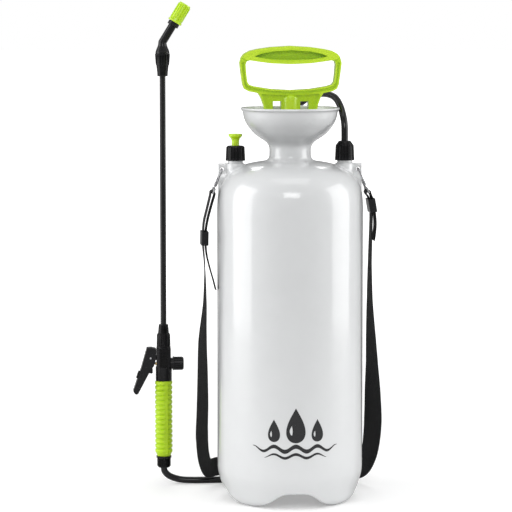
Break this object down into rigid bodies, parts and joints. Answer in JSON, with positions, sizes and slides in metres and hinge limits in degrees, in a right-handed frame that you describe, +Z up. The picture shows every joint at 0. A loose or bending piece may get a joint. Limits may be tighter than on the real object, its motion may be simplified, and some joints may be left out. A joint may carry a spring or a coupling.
{
  "type": "pump sprayer",
  "caption": "Hand-pumped pressure sprayer: tall white tank with a funnel neck, green D-handle pump, relief valve, shoulder strap, and a black hose to a trigger lance with an angled nozzle.",
  "frame": {"origin": "where the tank's vertical axis meets the floor it stands on", "axes": "+Z up along the tank's axis, -Y the front, +X towards the hose outlet; the lance stands behind on the -X side"},
  "size_m": [0.3197, 0.2064, 0.6323],
  "materials": {
    "tank_white": "glossy milky white blow-moulded polyethylene",
    "lime_green": "semi-gloss moulded plastic",
    "black_plastic": "semi-gloss moulded plastic",
    "black_hose": "glossy extruded tube",
    "black_webbing": "woven webbing with fine cross ribs",
    "black_rubber": "matt moulded rubber",
    "white_plastic": "plain moulded plastic",
    "clear_tube": "translucent tube",
    "chrome_steel": "bright nickel-plated steel",
    "spring_steel": "drawn wire",
    "brass_insert": "turned"
  },
  "bodies": {
    "tank": {"tank_shell": "tank_white", "relief_cap": "black_plastic", "relief_gasket": "black_rubber", "relief_seat": "white_plastic", "relief_spring": "spring_steel", "outlet_cap": "black_plastic", "outlet_gasket": "black_rubber", "outlet_spigot": "white_plastic", "dip_tube": "clear_tube", "dip_filter": "white_plastic", "supply_hose": "black_hose"},
    "relief_knob": {"relief_knob": "lime_green", "relief_o_ring": "black_rubber"},
    "pump_seat": {"pump_seal_ring": "black_rubber"},
    "pump": {"pump_barrel": "black_plastic", "barrel_foot": "white_plastic", "check_valve": "black_rubber", "pump_head": "black_plastic"},
    "piston_seal": {"piston_cup": "black_rubber"},
    "pump_rod": {"pump_handle": "lime_green", "pump_rod": "white_plastic", "piston": "white_plastic", "piston_nut": "brass_insert", "handle_pin": "spring_steel"},
    "strap": {"strap_webbing": "black_webbing", "snap_hook_left": "chrome_steel", "snap_hook_right": "chrome_steel", "strap_ring_left": "chrome_steel", "strap_ring_right": "chrome_steel"},
    "slider_left": {"strap_slider_left": "black_plastic"},
    "slider_right": {"strap_slider_right": "black_plastic"},
    "gate_left": {"hook_gate_left": "chrome_steel"},
    "gate_right": {"hook_gate_right": "chrome_steel"},
    "lance": {"lance_body": "black_plastic", "lance_grip": "lime_green", "hose_nut": "black_plastic", "wand_nut": "black_plastic", "wand_seal": "black_rubber", "valve_cap": "black_plastic", "trigger_pin": "spring_steel", "stem_spring": "spring_steel"},
    "trigger": {"trigger": "black_plastic"},
    "trigger_lock": {"trigger_lock": "black_plastic"},
    "valve_stem": {"valve_stem": "brass_insert", "stem_o_ring": "black_rubber"},
    "wand": {"wand_tube": "black_plastic", "wand_elbow": "black_plastic", "tip_nut": "black_plastic", "tip_seal": "black_rubber", "nozzle_core": "brass_insert"},
    "nozzle_ring": {"nozzle_o_ring": "black_rubber"},
    "nozzle": {"nozzle_cap": "lime_green"}
  },
  "joints": [
    {"name": "relief_pull", "type": "slide", "parent": "tank", "child": "relief_knob", "axis": [0, 0, 1], "range_m": [0, 0.006], "deforming": ["relief_spring"]},
    {"name": "pump_lift", "type": "slide", "parent": "tank", "child": "pump_seat", "axis": [0, 0, 1], "range_m": [0, 0.345]},
    {"name": "pump_turn", "type": "hinge", "parent": "pump_seat", "child": "pump", "pos_m": [0, 0, 0.448], "axis": [0, 0, 1], "range_deg": [0, 720]},
    {"name": "pump_stroke", "type": "slide", "parent": "pump", "child": "piston_seal", "axis": [0, 0, 1], "range_m": [0, 0.25]},
    {"name": "handle_turn", "type": "hinge", "parent": "piston_seal", "child": "pump_rod", "pos_m": [0, 0, 0.5], "axis": [0, 0, 1], "continuous": true},
    {"name": "strap_swing", "type": "hinge", "parent": "tank", "child": "strap", "pos_m": [0, 0, 0.4212], "axis": [1, 0, 0], "range_deg": [0, 13]},
    {"name": "slider_left_slide", "type": "slide", "parent": "strap", "child": "slider_left", "axis": [0.02, 0, 0.9998], "range_m": [-0.04, 0.025], "deforming": ["strap_webbing"]},
    {"name": "slider_right_slide", "type": "slide", "parent": "strap", "child": "slider_right", "axis": [-0.173, 0, 0.9849], "range_m": [-0.06, 0.003], "deforming": ["strap_webbing"]},
    {"name": "gate_left_open", "type": "hinge", "parent": "strap", "child": "gate_left", "pos_m": [-0.09116, -0.0065, 0.4101], "axis": [-0.925, 0, 0.38], "range_deg": [0, 20]},
    {"name": "gate_right_open", "type": "hinge", "parent": "strap", "child": "gate_right", "pos_m": [0.09116, -0.0065, 0.4101], "axis": [-0.925, 0, -0.38], "range_deg": [0, 20]},
    {"name": "lance_swing", "type": "hinge", "parent": "tank", "child": "lance", "pos_m": [-0.156, 0.102, 0.00435], "axis": [1, 0, 0], "range_deg": [-70, 70], "deforming": ["supply_hose"]},
    {"name": "trigger_pull", "type": "hinge", "parent": "lance", "child": "trigger", "pos_m": [-0.1733, 0.102, 0.1679], "axis": [0, -1, 0], "range_deg": [0, 18], "deforming": ["stem_spring"]},
    {"name": "valve_travel", "type": "slide", "parent": "lance", "child": "valve_stem", "axis": [1, 0, 0], "range_m": [0, 0.0024]},
    {"name": "trigger_lock_slide", "type": "slide", "parent": "trigger", "child": "trigger_lock", "axis": [-0.3274, 0, -0.9449], "range_m": [0, 0.005]},
    {"name": "wand_swivel", "type": "hinge", "parent": "lance", "child": "wand", "pos_m": [-0.156, 0.102, 0.4], "axis": [0, 0, 1], "continuous": true},
    {"name": "nozzle_travel", "type": "slide", "parent": "wand", "child": "nozzle_ring", "axis": [0.5225, 0, 0.8526], "range_m": [0, 0.0046]},
    {"name": "nozzle_turn", "type": "hinge", "parent": "nozzle_ring", "child": "nozzle", "pos_m": [-0.1351, 0.102, 0.61371], "axis": [0.5225, 0, 0.8526], "range_deg": [0, 540]}
  ],
  "couplings": [
    {"joint": "valve_travel", "follows": "trigger_pull", "m_per_rad": 0.0072},
    {"joint": "nozzle_travel", "follows": "nozzle_turn", "m_per_rad": 0.00047746}
  ]
}
